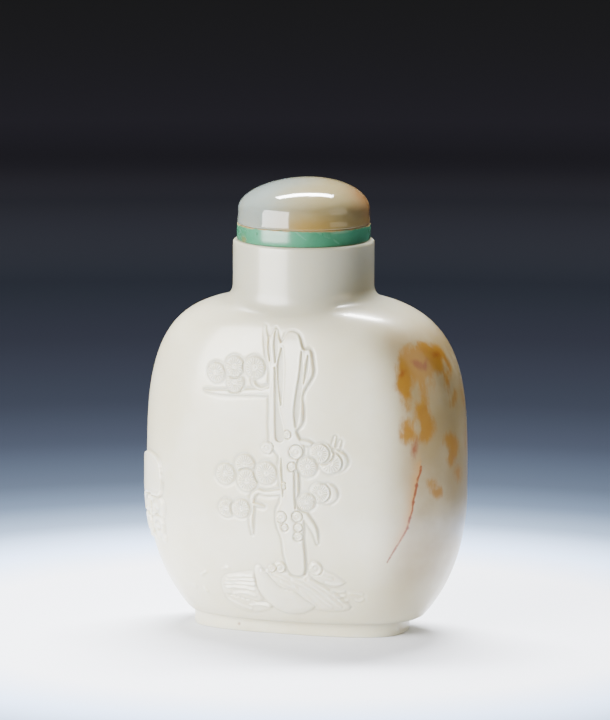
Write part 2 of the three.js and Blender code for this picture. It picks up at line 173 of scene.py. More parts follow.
# On the narrow right side, measured along the wall from its middle, and height; the third number is a width.
OCHRE = [
    [(-11.4, 40.6, 2.0), (-10.6, 42.2, 2.6), (-8.8, 43.0, 3.6), (-6.6, 43.6, 3.4), (-4.6, 43.8, 2.6),
     (-2.9, 43.9, 1.2)],
    [(-10.0, 41.6, 1.8), (-7.6, 42.2, 2.4), (-4.6, 42.8, 2.2)],
    [(-12.2, 40.0, 1.2), (-11.9, 38.4, 1.0), (-11.8, 36.4, 0.8)],
    [(-8.6, 41.0, 1.0), (-8.5, 39.4, 0.9), (-8.8, 37.6, 0.8), (-9.6, 35.8, 0.6)],
    [(-6.4, 42.0, 1.0), (-7.0, 40.4, 0.7), (-7.4, 38.8, 0.3)],
    [(-2.4, 43.4, 0.6), (-2.0, 41.6, 0.7), (-3.3, 40.4, 0.6), (-4.2, 38.4, 0.4)],
    [(-9.8, 36.4, 1.2), (-9.0, 34.8, 2.0), (-8.4, 33.2, 1.8), (-9.2, 31.8, 1.0)],
    [(-12.0, 34.4, 0.9), (-11.8, 32.4, 1.2), (-12.2, 31.4, 0.4)],
    [(-4.9, 31.2, 1.0), (-3.6, 30.2, 1.5), (-3.4, 28.8, 1.2), (-4.4, 27.8, 0.6)],
    [(-2.4, 26.0, 1.1), (-2.0, 25.0, 0.9)],
    [(-8.1, 24.6, 0.7), (-7.5, 23.3, 0.8), (-6.3, 23.3, 0.5)],
    [(-3.2, 36.4, 0.5), (-2.2, 37.6, 0.6), (-1.0, 38.6, 0.3)],
    [(0.6, 37.6, 0.5), (1.1, 35.6, 0.4)], [(0.9, 32.4, 0.5), (1.1, 30.4, 0.6), (1.3, 28.0, 0.3)],
]
RUST = [
    [(-9.4, 43.2, 1.0), (-8.4, 42.8, 1.7), (-7.6, 42.3, 1.4), (-6.8, 43.2, 0.8)],
    [(-12.1, 41.3, 0.8), (-11.4, 41.8, 0.9), (-10.4, 42.4, 0.5)],
    [(-4.9, 43.7, 0.7), (-3.6, 43.9, 0.9), (-3.0, 43.5, 0.6)],
    [(-8.1, 40.4, 0.35), (-8.6, 38.4, 0.3)],
    [(-10.5, 31.4, 0.8), (-10.9, 30.0, 1.2), (-10.8, 28.8, 0.6)],
    [(-11.2, 28.4, 0.3), (-11.0, 27.2, 0.2)], [(-9.9, 28.6, 0.4), (-10.0, 27.2, 0.3)],
    [(-8.4, 29.2, 0.3), (-9.2, 27.7, 0.45), (-9.8, 26.9, 0.3)],
]
CRACK = [
    (-9.9, 27.4), (-10.0, 26.5), (-10.4, 25.5), (-10.6, 24.5), (-10.8, 23.3), (-11.1, 22.1), (-11.2, 20.8),
    (-11.6, 19.5), (-11.9, 18.0), (-12.5, 16.7), (-13.0, 15.8), (-13.7, 14.5), (-14.5, 12.7),
]
CRACK_BEADS = [(-10.6, 24.5, 0.42), (-11.0, 22.0, 0.3), (-11.5, 19.6, 0.36), (-11.9, 18.0, 0.4), (-9.9, 26.8, 0.3)]


# ---- what a user would change


def length(name, description, default, **limits):
    return bpy.props.FloatProperty(
        name=name, description=description, default=default * MM, unit="LENGTH", precision=5, **limits
    )


def share(name, description, default):
    return bpy.props.FloatProperty(
        name=name, description=description, default=default, min=0.0, max=1.0, subtype="FACTOR"
    )


def colour(name, description, default):
    return bpy.props.FloatVectorProperty(
        name=name, description=description, default=default, size=3, min=0.0, max=1.0, subtype="COLOR"
    )


class BottleSizes(bpy.types.PropertyGroup):
    """Sizes of the jade bottle"""

    neck_radius: length("Neck radius", "Radius of the straight neck", 10.8)
    neck_fillet: length("Neck fillet", "How far the curve between shoulder and neck reaches each way", 2.0)
    lip_round: length("Lip rounding", "Radius of the lip's outer edge", 0.4)
    mouth_radius: length("Mouth radius", "Radius of the bore under the stopper", 4.0)
    shoulder_lean: share("Shoulder lean", "How much higher the left shoulder stands, for each unit of width", 0.012)
    relief: length("Relief", "Height of the pine's trunk above the ground", 0.30)
    groove: length("Groove width", "Width of the cut round each carved form", 0.42)
    groove_depth: length("Groove depth", "Depth of the cut round each carved form", 0.12)
    side_relief: length("Side relief", "Height of the low carving on the narrow left side", 0.42)


class StopperSizes(bpy.types.PropertyGroup):
    """Sizes of the collar and the cap"""

    collar_edge: length("Collar edge", "Rounding of the collar's lower edge", 0.25)
    base_radius: length("Cap base radius", "Radius of the cap's lowest edge", 10.17)
    cap_radius: length("Cap radius", "Radius of the cap under its dome", 10.05)
    side_height: length("Cap side height", "Height of the cap's wall under its dome", 2.25)
    dome_height: length("Dome height", "Height of the dome over the cap's wall", 4.75)
    dome_power: bpy.props.FloatProperty(
        name="Dome fullness", description="2 gives an ellipse, and more a squarer dome", default=1.93
    )
    lean: length("Dome lean", "How far the top of the dome stands to the right of its axis", 0.85)


class StoneColours(bpy.types.PropertyGroup):
    """Colours of the jade, the collar and the cap"""

    jade: colour("Jade", "The pale ground of the bottle", (0.63, 0.60, 0.465))
    jade_cloud: colour("Jade clouds", "The slightly deeper clouds in the ground", (0.58, 0.54, 0.385))
    # The cut jade is partly the duller cut stone and partly painted shade in the hollows of the carving.
    jade_cut_and_shade: colour("Cut jade", "The duller stone at the bottom of the carving", (0.40, 0.385, 0.29))
    # The warm jade is partly the stone's own tan and partly painted shade on the narrow right side.
    jade_tan_and_shade: colour("Warm jade", "The tan stone of the narrow right side", (0.19, 0.125, 0.035))
    ochre: colour("Ochre skin", "The russet skin where it is thin", (0.235, 0.108, 0.002))
    rust: colour("Rust skin", "The russet skin where it is thick, and the crack", (0.17, 0.03, 0.001))
    collar_green: colour("Collar green", "The collar's own colour", (0.045, 0.185, 0.105))
    collar_deep: colour("Deep green", "The darker veins of the collar", (0.034, 0.145, 0.075))
    agate_pale: colour("Pale agate", "The blue-grey left of the cap", (0.17, 0.20, 0.185))
    agate_honey: colour("Honey agate", "The greenish beige middle of the cap", (0.22, 0.185, 0.095))
    agate_brown: colour("Brown agate", "The orange-brown right of the cap", (0.17, 0.065, 0.014))


class StudioLook(bpy.types.PropertyGroup):
    """The floor, the lights and the camera"""

    floor_pale: colour("Floor", "The floor round the bottle", (0.88, 0.91, 1.0))
    key_power: bpy.props.FloatProperty(
        name="Key light", description="Power of the soft panel on the left", default=4.6, unit="POWER"
    )
    strip_power: bpy.props.FloatProperty(
        name="Strip light", description="Power of the long strip overhead", default=6.5, unit="POWER"
    )
    fill_power: bpy.props.FloatProperty(
        name="Fill light", description="Power of the weak warm panel on the right", default=0.6, unit="POWER"
    )
    view_azimuth: bpy.props.FloatProperty(
        name="View from", description="How far round to the right the camera stands",
        default=math.radians(18.565), subtype="ANGLE",
    )
    view_elevation: bpy.props.FloatProperty(
        name="View height", description="How far the camera looks down",
        default=math.radians(8.724), subtype="ANGLE",
    )


# ---- the body's form


def reach(part, power):
    """How far out a rounded profile reaches, as a share, at that share of its height."""
    part = np.clip(part, 0.0, 1.0)
    return (1.0 - part**power) ** (1.0 / power)


def profile_sizes(z, widest, top, bottom, half_width, half_depth):
    """Half width and half depth at height z of a form with one rounded profile above and one below."""
    z = np.asarray(z, float)
    up = z >= widest
    part = np.where(up, (z - widest) / top["height"], (widest - z) / bottom["height"])
    wide = np.where(up, reach(part, top["width"]), reach(part, bottom["width"]))
    deep = np.where(up, reach(part, top["depth"]), reach(part, bottom["depth"]))
    return half_width * wide, half_depth * deep


def half_sizes(z):
    return profile_sizes(z, WIDEST_Z, TOP, BOTTOM, HALF_WIDTH, HALF_DEPTH)


def cavity_sizes(z):
    return profile_sizes(z, CAVITY["widest"], CAVITY_TOP, CAVITY_BOTTOM, CAVITY["half_width"], CAVITY["half_depth"])


def plan_point(turn):
    """The body's unit plan curve at an angle."""
    across, back = np.cos(turn), np.sin(turn)
    grow = (np.abs(across) ** PLAN_POWER + np.abs(back) ** PLAN_POWER) ** (-1.0 / PLAN_POWER)
    return across * grow, back * grow


def plan_columns():
    """Points on the body's unit plan curve, closest together where the carving is."""
    across, back = plan_point(np.linspace(-0.5 * math.pi, 1.5 * math.pi, 24001))
    x, y = BODY_X + HALF_WIDTH * across, HALF_DEPTH * back
    step = np.hypot(np.diff(x), np.diff(y))
    middle_x, middle_y = (x[1:] + x[:-1]) / 2, (y[1:] + y[:-1]) / 2
    spacing = np.full(len(step), 1.3)
    spacing[(middle_y < 1.0) & (np.abs(middle_x) > 12.0)] = 0.66
    spacing[(middle_y < 0.0) & (middle_x > -16.0) & (middle_x < 14.5)] = 0.66
    density = np.concatenate([[0.0], np.cumsum(step / spacing)])
    wanted = np.linspace(0.0, density[-1], int(density[-1]), endpoint=False)
    return np.interp(wanted, density, across), np.interp(wanted, density, back)


def ring(columns, half, z, power=PLAN_POWER, centre=BODY_X):
    """The columns' points on a superellipse of given half width and depth, at one height."""
    across, back = columns
    grow = (np.abs(across) ** power + np.abs(back) ** power) ** (-1.0 / power)
    return np.column_stack([centre + half[0] * across * grow, half[1] * back * grow, np.full(len(across), z)])


def run_along(curve):
    """How far along a curve each of its points is."""
    return np.concatenate([[0.0], np.cumsum(np.linalg.norm(np.diff(curve, axis=0), axis=1))])


def shoulder_rows(columns, rows, neck_radius, fillet):
    """Rows from the shoulder's first ring up to where each column meets the neck, and the curve up the neck."""
    top = WIDEST_Z + TOP["height"] - 0.02
    z = SHOULDER_Z + (top - SHOULDER_Z) * (1 - (1 - np.linspace(0.0, 1.0, 240)) ** 2.2)
    wide, deep = half_sizes(z)
    joints, body = [], []
    for across, back in zip(*columns):
        line = np.column_stack([BODY_X + wide * across, deep * back, z])
        out = np.hypot(line[:, 0] - NECK_X, line[:, 1])
        last = int(np.argmax(out < neck_radius))
        part = (out[last - 1] - neck_radius) / (out[last - 1] - out[last])
        joints.append(line[last - 1] + (line[last] - line[last - 1]) * part)
        curve = np.vstack([line[:last], joints[-1]])
        run = run_along(curve)
        wanted = np.linspace(0.0, max(run[-1] - fillet, run[-1] * 0.3), rows)
        body.append([np.interp(wanted, run, axis) for axis in curve.T])
    joints, body = np.array(joints), np.array(body).transpose(2, 0, 1)
    end = joints + np.array([0.0, 0.0, fillet])
    steps = np.linspace(0.0, 1.0, 13)[1:]
    return list(body) + [(1 - t) ** 2 * body[-1] + 2 * t * (1 - t) * joints + t**2 * end for t in steps]


def lean_of(points, lean):
    """How much higher each point of the leaning shoulder stands."""
    return lean * (NECK_X - points[:, 0]) * smooth((points[:, 2] - LEAN_FROM) / LEAN_RUN)


def bottle_rings(sizes):
    """Every ring of the bottle, from the middle of the underside, round the lip, to the cavity's floor."""
    neck_radius, lip_round, mouth = sizes.neck_radius / MM, sizes.lip_round / MM, sizes.mouth_radius / MM
    columns = plan_columns()
    rim, recess, foot_top = FOOT["rim"], FOOT["recess"], FOOT["height"]
    inner = np.array([FOOT["half_width"] - rim, FOOT["half_depth"] - rim])
    foot_profile = [
        (-0.25, recess), (0.0, recess - 0.25), (0.0, 0.15), (0.12, 0.0), (0.6, 0.0), (rim - 0.7, 0.0),
        (rim - 0.25, 0.0), (rim - 0.07, 0.07), (rim, 0.28), (rim, 0.8), (rim, 1.4), (rim, 1.9), (rim + 0.07, 2.12),
    ]
    foot = [(inner * part, recess) for part in (0.3, 0.65, 0.9)] + [(inner + out, z) for out, z in foot_profile]
    rings = [ring(columns, half, z, FOOT["power"], NECK_X) for half, z in foot]
    wall, underside = rings[-1], ring(columns, half_sizes(foot_top), foot_top)
    for part in (0.12, 0.5, 0.85):
        joined = wall + (underside - wall) * part
        joined[:, 2] = foot_top - 0.04 + 0.1 * part
        rings.append(joined)
    rings += [ring(columns, half_sizes(z), z) for z in np.linspace(foot_top + 0.35, SHOULDER_Z, 70)]
    rings += shoulder_rows(columns, 20, neck_radius, sizes.neck_fillet / MM)[1:]
    for points in rings:
        points[:, 2] += lean_of(points, sizes.shoulder_lean)
    base = rings[-1]
    for part in np.linspace(0.0, 1.0, 9)[1:]:
        up = base.copy()
        up[:, 2] = base[:, 2] + (LIP_Z - lip_round - base[:, 2]) * part
        rings.append(up)
    towards = base[:, :2] - np.array([NECK_X, 0.0])
    towards /= np.linalg.norm(towards, axis=1, keepdims=True)
    lip_profile = [
        (neck_radius - lip_round * (1 - math.cos(angle)), LIP_Z - lip_round * (1 - math.sin(angle)))
        for angle in np.linspace(0.2, 1.0, 5) * math.pi / 2
    ]
    lip_profile += [(7.5, LIP_Z), (mouth + 0.3, LIP_Z), (mouth + 0.05, LIP_Z - 0.1), (mouth, LIP_Z - 0.4)]
    for radius, z in lip_profile + [(mouth, 54.0), (mouth, 49.2)]:
        x, y = towards.T * radius
        rings.append(np.column_stack([NECK_X + x, y, np.full(len(base), z)]))
    cavity_rows = (48.7, 48.0, 46.5, 44.0, 40.0, 35.0, 29.0, 24.0, 19.0, 15.0, 12.0, 10.0, 8.6, 7.9)
    return rings + [ring(columns, cavity_sizes(z), z) for z in cavity_rows]


# ---- distances for the carving


def smooth(value):
    value = np.clip(value, 0.0, 1.0)
    return value * value * (3.0 - 2.0 * value)


def bell(value, width):
    """1 where the value is nought, falling away over a width on each side."""
    return np.exp(-((value / width) ** 2))


def between(a, b, c, d, part):
    """A smooth curve from b to c, with a and d as its neighbours."""
    return 0.5 * (2 * b + (c - a) * part + (2 * a - 5 * b + 4 * c - d) * part**2 + (3 * b - a - 3 * c + d) * part**3)


def rounded_outline(points, steps=4):
    """A closed outline with round corners through its named points."""
    points = np.array(points, float)
    near = [np.roll(points, shift, axis=0) for shift in (1, 0, -1, -2)]
    parts = np.linspace(0.0, 1.0, steps, endpoint=False)
    return np.array([between(*four, part) for four in zip(*near) for part in parts])


def smooth_path(stations, steps=4):
    """The same for an open path."""
    points = np.array(stations, float)
    points = np.vstack([2 * points[0] - points[1], points, 2 * points[-1] - points[-2]])
    near = zip(points, points[1:], points[2:], points[3:])
    parts = np.linspace(0.0, 1.0, steps, endpoint=False)
    return np.array([between(*four, part) for four in near for part in parts] + [points[-2]])


def to_segment(x, z, start, end):
    """The share of the way along a segment nearest each place, and how far away it is."""
    (ax, az), (dx, dz) = start[:2], (end[0] - start[0], end[1] - start[1])
    along = np.clip(((x - ax) * dx + (z - az) * dz) / (dx * dx + dz * dz), 0.0, 1.0)
    return along, np.hypot(x - ax - along * dx, z - az - along * dz)


def inside_distance(x, z, outline):
    """Distance to an outline, positive inside it."""
    best = np.full(x.shape, 1e9)
    inside = np.zeros(x.shape, bool)
    for start, end in zip(outline, np.roll(outline, -1, axis=0)):
        best = np.minimum(best, to_segment(x, z, start, end)[1])
        (ax, az), (bx, bz) = start, end
        if az != bz:
            inside ^= ((az > z) != (bz > z)) & (x < ax + (z - az) * (bx - ax) / (bz - az))
    return np.where(inside, best, -best)


def limb_distance(x, z, stations):
    """Distance inside a limb of changing width along a path, as (distance, half width there)."""
    best = np.full(x.shape, -1e9)
    half = np.zeros(x.shape)
    for start, end in zip(stations, stations[1:]):
        along, out = to_segment(x, z, start, end)
        width = (start[2] + (end[2] - start[2]) * along) / 2
        better = width - out > best
        best = np.where(better, width - out, best)
        half = np.where(better, width, half)
    return best, half


def path_offset(x, z, stations):
    """Distance from an open path, positive on its right side."""
    best = np.full(x.shape, 1e9)
    for start, end in zip(stations, stations[1:]):
        out = to_segment(x, z, start, end)[1]
        right = (x - start[0]) * (end[1] - start[1]) > (z - start[1]) * (end[0] - start[0])
        best = np.where(out < np.abs(best), np.where(right, out, -out), best)
    return best


# ---- relief


class Relief:
    """The height of a carving above its ground, and how far each place is cut down, built up form by form."""

    def __init__(self, x, z, sizes):
        self.x, self.z = x, z
        self.groove, self.groove_depth = sizes.groove / MM, sizes.groove_depth / MM
        self.height = np.zeros(x.shape)
        self.cut = np.zeros(x.shape)

    def cut_round(self, depth, width=1.0, strength=1.0):
        """Cuts a flat-bottomed groove just outside an edge; depth is the distance inside the edge."""
        out = -depth
        width = self.groove * width
        share_cut = smooth(out / 0.12) * smooth((width + 0.08 - out) / 0.2)
        self.height = self.height * (1 - share_cut) - self.groove_depth * strength * share_cut
        self.mark(share_cut * np.clip(strength * 1.4, 0.0, 1.0))

    def stand(self, depth, height, edge=0.2):
        """Leaves a form standing inside an edge."""
        inside = smooth((depth + 0.04) / edge)
        self.height = self.height * (1 - inside) + height * inside
        self.cut = self.cut * (1 - inside)

    def sink(self, depth, floor, edge=0.14, lip=0.05):
        """Sinks a split into a form and leaves a thin lip along it."""
        inside = smooth((depth + 0.05) / edge)
        self.height = self.height * (1 - inside) + floor * inside
        self.height += lip * bell(depth + 0.17, 0.1) * (depth < 0.0)
        self.mark(inside)

    def mark(self, values):
        """Notes stone that is cut down, and stone darkened with painted shade, without changing its height."""
        self.cut = np.maximum(self.cut, values)


def polar(x, z, cx, cz):
    """Distance and angle from a centre."""
    return np.hypot(x - cx, z - cz), np.arctan2(z - cz, x - cx)


def carve_rocks(relief):
    """Rocks with ribs and hatching over them, and curls of cloud beside them."""
    x, z = relief.x, relief.z
    for stand, points in ROCKS:
        depth = inside_distance(x, z, rounded_outline(points))
        relief.cut_round(depth, 0.6, 0.45)
        relief.stand(depth, 0.72 * stand * (0.55 + 0.45 * smooth(depth / 1.1)), 0.3)
    for stroke in ROCK_STROKES:
        depth, half = limb_distance(x, z, smooth_path(stroke_stations(stroke)))
        relief.height += 0.14 * smooth(depth / np.maximum(half, 0.05))
        relief.height -= 0.07 * bell(depth + 0.14, 0.12) * (depth < 0)
    for cx, cz, radius, opening in CURLS:
        out, turn = polar(x, z, cx, cz)
        turn = np.angle(np.exp(1j * (turn - opening)))
        relief.height += 0.28 * bell(out - radius * 0.8, 0.26) * np.exp(-((turn / 1.15) ** 4))


def carve_wood(relief, rise):
    """The trunk, its limbs, the splits in its bark and its knots."""
    x, z = relief.x, relief.z
    trunk = inside_distance(x, z, rounded_outline(TRUNK))
    fade = 0.25 + 0.75 * smooth((48.0 - z) / 2.4)
    wood = trunk.copy()
    top = np.where(trunk > -0.3, rise * fade * (1 + 0.16 * bell(trunk - 0.28, 0.14)), 0.0)
    for stations in LIMBS:
        depth, half = limb_distance(x, z, smooth_path(stations))
        round_top = np.sqrt(np.clip(1 - (1 - depth / np.maximum(half, 1e-6)) ** 2, 0.0, 1.0))
        limb_top = rise * (0.5 + 0.5 * round_top) * np.clip(half / 0.25, 0.3, 1.0)
        top = np.where(depth > np.maximum(trunk, -0.05), np.maximum(top * (trunk > 0), limb_top), top)
        wood = np.maximum(wood, depth)
    relief.cut_round(wood, 1.0, fade)
    relief.stand(wood, top)
    for stations in SPLITS:
        depth, _ = limb_distance(x, z, smooth_path(stations))
        relief.sink(depth + 0.05, -0.02)
    for cx, cz, radius in KNOTS:
        out, turn = polar(x, z, cx, cz)
        part = out / radius
        swirl = part + 0.08 * turn
        bowl = rise * (0.62 + 0.5 * bell(swirl - 0.74, 0.17) + 0.42 * bell(part, 0.24))
        relief.cut_round(radius - out, 0.55, 0.6)
        relief.stand(radius - out, bowl, 0.18)
        # Painted shade in the sunk ring round each knot's eye.
        relief.mark(0.6 * bell(part - 0.42, 0.13))


def carve_needles(relief):
    """Round tufts of needles, with rays from a small eye."""
    x, z = relief.x, relief.z
    for cx, cz, radius, rays in NEEDLES:
        out, turn = polar(x, z, cx, cz)
        part = np.clip(out / radius, 0.0, 1.0)
        top = 0.17 + 0.12 * (1 - part**2)
        relief.cut_round(radius - out, 0.95, 0.8)
        if rays:
            band = smooth((part - 0.2) / 0.12) * smooth((0.93 - part) / 0.12)
            ray = np.cos(rays * turn + 0.7 * math.sin(cx * 3.0))
            top = top + 0.07 * ray * band
            top = top + 0.07 * bell(part, 0.09) - 0.08 * bell(part - 0.19, 0.06)
        relief.stand(radius - out, top, 0.26)
        # Painted shade in the grooves between the rays.
        if rays:
            relief.mark(0.85 * smooth(0.5 - 0.7 * ray) * band)


def front_relief(x, z, sizes):
    relief = Relief(x, z, sizes)
    carve_rocks(relief)
    carve_wood(relief, sizes.relief / MM)
    carve_needles(relief)
    return relief


def side_relief(along, z, sizes):
    """The low carving on the narrow left side: a plaque over two rows of scrolls."""
    relief = Relief(along, z, sizes)
    rise = sizes.side_relief / MM
    for cz, radius in SIDE_SCROLLS:
        for way in (-1, 1):
            out, turn = polar(along * way, z, 2.1, cz)
            swirl = rise * (0.75 + 0.3 * np.cos(out / radius * 9.0 - turn))
            relief.cut_round(radius - out, 0.7, 0.5)
            relief.stand(radius - out, swirl, 0.24)
    for i in range(5):
        out = np.hypot(along - (i - 2) * 1.5, z - 13.9 - 0.3 * (i % 2))
        relief.stand(0.8 - out, rise * 0.75, 0.4)
    depth = inside_distance(along, z, rounded_outline(SIDE_SLAB))
    relief.cut_round(depth, 0.8, 0.5)
    relief.stand(depth, rise * (1.05 - 0.12 * bell(depth - 0.7, 0.12)), 0.26)
    return relief


# ---- mesh helpers


def select_only(piece):
    if bpy.context.object is not None and bpy.context.object.mode != "OBJECT":
        bpy.ops.object.mode_set(mode="OBJECT")
    bpy.ops.object.select_all(action="DESELECT")
    piece.select_set(True)
    bpy.context.view_layer.objects.active = piece


def read_points(piece, source="co"):
    points = np.zeros(len(piece.data.vertices) * 3)
    piece.data.vertices.foreach_get(source, points)
    return points.reshape(-1, 3)


def place(piece, points):
    piece.data.vertices.foreach_set("co", (points * MM).reshape(-1))
    piece.data.update()


def edit(piece):
    select_only(piece)
    bpy.ops.object.mode_set(mode="EDIT")


def select_faces(piece, chosen):
    for group in (piece.data.vertices, piece.data.edges):
        group.foreach_set("select", np.zeros(len(group), bool))
    piece.data.polygons.foreach_set("select", chosen)
    edit(piece)
    bpy.ops.mesh.select_mode(type="FACE")


def subdivide_where(piece, keep):
    """Divides the faces whose centres pass a test, once."""
    select_only(piece)
    centres = np.zeros(len(piece.data.polygons) * 3)
    piece.data.polygons.foreach_get("center", centres)
    select_faces(piece, keep(centres.reshape(-1, 3) / MM))
    bpy.ops.mesh.subdivide(number_cuts=1, ngon=False)
    bpy.ops.object.mode_set(mode="OBJECT")


def close_ends(piece):
    """Turns the end faces into fans."""
    sides = np.zeros(len(piece.data.polygons), np.int32)
    piece.data.polygons.foreach_get("loop_total", sides)
    select_only(piece)
    select_faces(piece, sides > 8)
    bpy.ops.mesh.poke()
    bpy.ops.object.mode_set(mode="OBJECT")


def write_mask(piece, name, values):
    """Keeps one number for each point, for the material to read."""
    mask = piece.data.attributes.new(name, "FLOAT", "POINT")
    mask.data.foreach_set("value", np.asarray(values, np.float32))


def finish_piece(piece, name, node, material):
    piece.name = name
    piece.data.name = name
    select_only(piece)
    bpy.ops.object.shade_smooth_by_angle(angle=math.radians(50))
    piece.data.materials.clear()
    piece.data.materials.append(material)
    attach(piece, BODY_NAME)
    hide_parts(node)
    print(name, sum(len(face.vertices) - 2 for face in piece.data.polygons), "triangles")


# ---- the bottle


def body_share(points):
    """Plan share of points from the body's middle: 1 on its surface."""
    wide, deep = half_sizes(points[:, 2])
    across = np.abs(points[:, 0] - BODY_X) / np.maximum(wide, 1e-3)
    back = np.abs(points[:, 1]) / np.maximum(deep, 1e-3)
    return (across**PLAN_POWER + back**PLAN_POWER) ** (1 / PLAN_POWER)


def along_wall(points, side):
    """Distance along the widest ring from the middle of a narrow side, less than nothing towards the front."""
    turn = np.linspace(-math.pi, math.pi, 2001)
    across, back = plan_point(turn)
    run = run_along(np.column_stack([HALF_WIDTH * across, HALF_DEPTH * back]))
    run -= np.interp(0.0, turn, run)
    wide, deep = half_sizes(points[:, 2])
    own = np.arctan2(points[:, 1] / np.maximum(deep, 1e-3), side * (points[:, 0] - BODY_X) / np.maximum(wide, 1e-3))
    return np.interp(own, turn, run)


def in_front_zone(points):
    x, y, z = points.T
    return (y < -2) & (z > 3.2) & (z < 49.3) & (x > -15.3) & (x < 13.6) & (body_share(points) > 0.9)


def in_side_zone(points):
    along = along_wall(points, -1) - SIDE_MIDDLE
    x, y, z = points.T
    return (x < -12) & (y < 3) & (np.abs(along) < 5.4) & (z > 12.6) & (z < 27.8) & (body_share(points) > 0.9)


def in_skin_zone(points):
    along = along_wall(points, 1)
    x, y, z = points.T
    return (x > 8) & (along > -15.5) & (along < 2.5) & (z > 11) & (z < 48) & (body_share(points) > 0.9)


def near_crack(points):
    x, y, z = points.T
    near = np.abs(path_offset(along_wall(points, 1), z, CRACK)) < 0.7
    return near & (x > 8) & (z > 12) & (z < 28) & (body_share(points) > 0.9)


def stroke_stations(stroke):
    return [(x, z, STROKE_WIDTH) for x, z in stroke]


def near_rounds(x, z, rounds, gap):
    return np.any([np.hypot(x - cx, z - cz) < radius + gap for cx, cz, radius, *_ in rounds], axis=0)


def near_limbs(x, z, limbs, gap):
    return np.any([limb_distance(x, z, stations)[0] > -gap for stations in limbs], axis=0)


def near_front_forms(points, gap):
    """Where the carving on the front stands or is cut, with some room round it."""
    x, _, z = points.T
    near = inside_distance(x, z, rounded_outline(TRUNK, 2)) > -0.6 - gap
    near |= near_limbs(x, z, LIMBS, 0.55 + gap) | near_rounds(x, z, NEEDLES, 0.45 + gap)
    return (near | near_rounds(x, z, KNOTS, 0.3 + gap)) & in_front_zone(points)


def near_rocks(points):
    x, _, z = points.T
    near = np.any([inside_distance(x, z, rounded_outline(outline, 2)) > -0.5 for _, outline in ROCKS], axis=0)
    near |= near_limbs(x, z, [stroke_stations(stroke) for stroke in ROCK_STROKES], 0.4)
    return (near | near_rounds(x, z, CURLS, 0.6)) & in_front_zone(points)


def near_edges(points):
    """The finest places: tufts, and the edges of the trunk, limbs, splits and knots."""
    x, _, z = points.T
    near = np.abs(inside_distance(x, z, rounded_outline(TRUNK, 2)) + 0.08) < 0.34
    for stations in LIMBS + SPLITS:
        near |= np.abs(limb_distance(x, z, stations)[0] + 0.08) < 0.29
    return (near | near_rounds(x, z, KNOTS + NEEDLES, 0.06)) & in_front_zone(points)


def settle_on_body(piece, lean):
    """Puts the points made by dividing faces back on the body's true curve."""
    points = read_points(piece) / MM
    on_body = in_front_zone(points) | in_side_zone(points) | in_skin_zone(points)
    chosen = points[on_body]
    chosen[:, 2] -= lean_of(chosen, lean)
    middle = np.array([BODY_X, 0.0])
    points[on_body, :2] = middle + (chosen[:, :2] - middle) / body_share(chosen)[:, None]
    place(piece, points)


def carve(piece, sizes):
    """Moves the surface out or in along its own normals, and keeps where it was cut and where shade is painted."""
    points = read_points(piece) / MM
    normals = read_points(piece, "normal")
    x, y, z = points.T
    front = in_front_zone(points)
    side = in_side_zone(points) & ~front
    lift = np.zeros(len(points))
    cut = np.zeros(len(points))
    relief = front_relief(x[front], z[front], sizes)
    lift[front], cut[front] = relief.height, relief.cut
    relief = side_relief(along_wall(points[side], -1) - SIDE_MIDDLE, z[side], sizes)
    lift[side], cut[side] = relief.height, relief.cut
    place(piece, points + normals * lift[:, None])
    write_mask(piece, "cut", cut)
    write_mask(piece, "raised", np.clip(lift / 0.3, 0.0, 1.0))


def colour_skin(piece):
    """Keeps where the russet skin and its crack lie."""
    points = read_points(piece) / MM
    x, y, z = points.T
    along = along_wall(points, 1)
    outer = (x > 2) & (z > 8) & (z < 50) & (body_share(points) > 0.9)
    masks = {"ochre": np.zeros(len(points)), "rust": np.zeros(len(points))}
    for name, strokes, edge in (("ochre", OCHRE, 3.0), ("rust", RUST, 1.3)):
        values = np.zeros(outer.sum())
        for stations in strokes:
            depth, half = limb_distance(along[outer], z[outer], smooth_path(stations))
            values = np.maximum(values, np.clip(0.5 + depth / edge, 0.0, 1.0) * np.clip(0.45 + half, 0.0, 1.0))
        masks[name][outer] = values
    for cx, cz, radius in CRACK_BEADS:
        bead = np.exp(-((np.hypot(along - cx, z - cz) / radius) ** 2))
        masks["rust"] = np.maximum(masks["rust"], bead * outer)
    for name, values in masks.items():
        write_mask(piece, name, values)
    offset = path_offset(along, z, CRACK)
    write_mask(piece, "crack", np.where(outer, np.clip(np.abs(offset), 0.0, 6.0), 6.0))
    write_mask(piece, "stain", np.exp(-np.abs(offset) / 0.8) * (offset > -0.15) * outer * smooth((z - 12.0) / 6.0))
    # The warm mask: the stone's own tan with painted shade over the narrow right side.
    right = smooth((along + 18.5) / 9.0) * smooth((17.0 - along) / 8.0) * smooth((x - 2.0) / 6.0)
    right *= smooth((z - 1.0) / 12.0) * smooth((52.0 - z) / 7.0)
    write_mask(piece, "warm", right * (body_share(points) > 0.9) * 0.9)


def make_bottle_mesh(sizes):
    """A grid rolled up and drawn through every ring of the bottle, then closed under the foot and inside."""
    table = np.array(bottle_rings(sizes))
    rows, around = table.shape[:2]
    bpy.ops.object.select_all(action="DESELECT")
    bpy.ops.mesh.primitive_grid_add(x_subdivisions=around, y_subdivisions=rows - 1, size=1)
    piece = bpy.context.object
    flat = read_points(piece)
    column = np.rint((flat[:, 0] + 0.5) * around).astype(int) % around
    row = np.rint((flat[:, 1] + 0.5) * (rows - 1)).astype(int)
    place(piece, table[row, column])
    edit(piece)
    bpy.ops.mesh.select_all(action="SELECT")
    bpy.ops.mesh.remove_doubles(threshold=1e-7)
    bpy.ops.mesh.select_all(action="DESELECT")
    bpy.ops.mesh.select_mode(type="EDGE")
    bpy.ops.mesh.select_non_manifold(extend=False, use_wire=False, use_multi_face=False, use_non_contiguous=False)
    bpy.ops.mesh.edge_face_add()
    bpy.ops.mesh.select_all(action="SELECT")
    bpy.ops.mesh.normals_make_consistent(inside=False)
    bpy.ops.object.mode_set(mode="OBJECT")
    return piece


